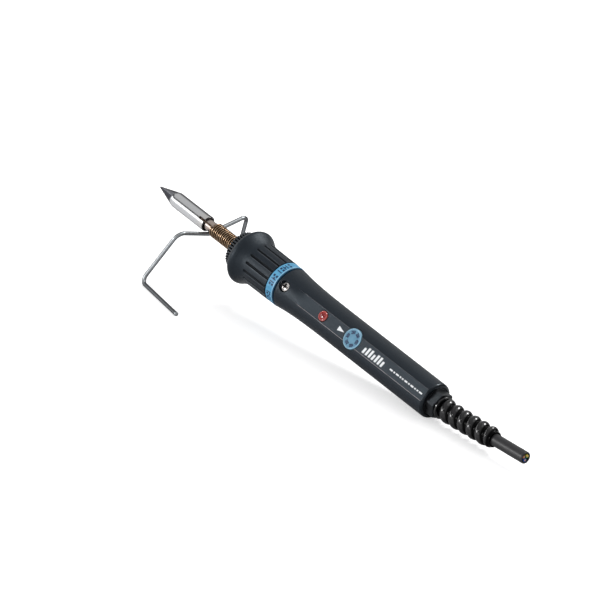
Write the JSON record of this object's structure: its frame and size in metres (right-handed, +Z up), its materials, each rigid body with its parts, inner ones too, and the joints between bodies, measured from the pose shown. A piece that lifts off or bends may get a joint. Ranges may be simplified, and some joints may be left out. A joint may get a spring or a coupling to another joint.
{
  "type": "soldering iron on a wire rest",
  "caption": "Mains soldering iron with an adjustable-temperature dial and a sleeve tip on a spring, lying across a free-standing bent-wire rest.",
  "frame": {"origin": "bottom centre of the whole object's bounding box, on the table", "axes": "+X runs level from the tip towards the mains cord, the longest side; +Y away from the dial's side; +Z up, the shortest side"},
  "size_m": [0.2912, 0.0854, 0.0423],
  "materials": {
    "plated_tip": "bright plating on the sleeve, darker tinned cone",
    "bronze_wire": "drawn bronze spring wire",
    "heated_steel": "stainless tube with a heat tint",
    "black_nylon": "fine-grained moulded plastic",
    "blue_plastic": "satin moulded plastic with printed marks",
    "nickel": "nickel plating",
    "red_lens": "clear moulded plastic",
    "black_rubber": "glossy moulded rubber",
    "cord_rubber": "smooth rubber sheath",
    "zinc_wire": "zinc-plated drawn wire",
    "ceramic": "fired ceramic",
    "lead_silicone": "woven-sleeved silicone insulation",
    "core_green_yellow": "wire insulation",
    "board_laminate": "glass-fibre laminate",
    "chip_black": "moulded package",
    "capacitor_blue": "sleeved can",
    "resistor_tan": "lacquered body",
    "terminal_nylon": "natural nylon",
    "core_brown": "wire insulation",
    "core_blue": "wire insulation"
  },
  "bodies": {
    "rest": {"wire_rest": "zinc_wire"},
    "iron": {"bend_protector": "black_rubber", "cable_clamp": "terminal_nylon", "capacitor": "capacitor_blue", "circuit_board": "board_laminate", "clamp_screw_a": "nickel", "clamp_screw_b": "nickel", "control_chip": "chip_black", "cord_sheath": "cord_rubber", "drop_resistor": "resistor_tan", "earth_core": "core_green_yellow", "earth_lead": "core_green_yellow", "end_bushing": "black_nylon", "fixing_screw": "nickel", "front_collar": "black_nylon", "handle_shell": "black_nylon", "heater_bush": "ceramic", "heater_core": "ceramic", "heater_lead_a": "lead_silicone", "heater_lead_b": "lead_silicone", "heater_tube": "heated_steel", "indicator_led": "red_lens", "indicator_lens": "red_lens", "live_core": "core_brown", "marker_ring": "blue_plastic", "neutral_core": "core_blue", "potentiometer_body": "chip_black", "terminal_block": "terminal_nylon", "tip_spring": "bronze_wire", "triac": "chip_black"},
    "tip": {"soldering_tip": "plated_tip"},
    "ring": {"ring_nut": "black_nylon"},
    "dial": {"temperature_dial": "blue_plastic", "potentiometer_shaft": "nickel"}
  },
  "joints": [
    {"name": "iron_lift", "type": "slide", "parent": "rest", "child": "iron", "axis": [0, 0, 1], "range_m": [0, 0.06]},
    {"name": "tip_pull", "type": "slide", "parent": "iron", "child": "tip", "axis": [-0.9928, 0, 0.1195], "range_m": [0, 0.03]},
    {"name": "ring_nut_turn", "type": "hinge", "parent": "iron", "child": "ring", "pos_m": [-0.07677, 0, 0.02821], "axis": [0.9928, 0, -0.1195], "continuous": true},
    {"name": "dial_turn", "type": "hinge", "parent": "iron", "child": "dial", "pos_m": [0.02099, -0.00767, 0.02118], "axis": [0.0624, -0.8526, 0.5188], "range_deg": [-135, 135]}
  ]
}
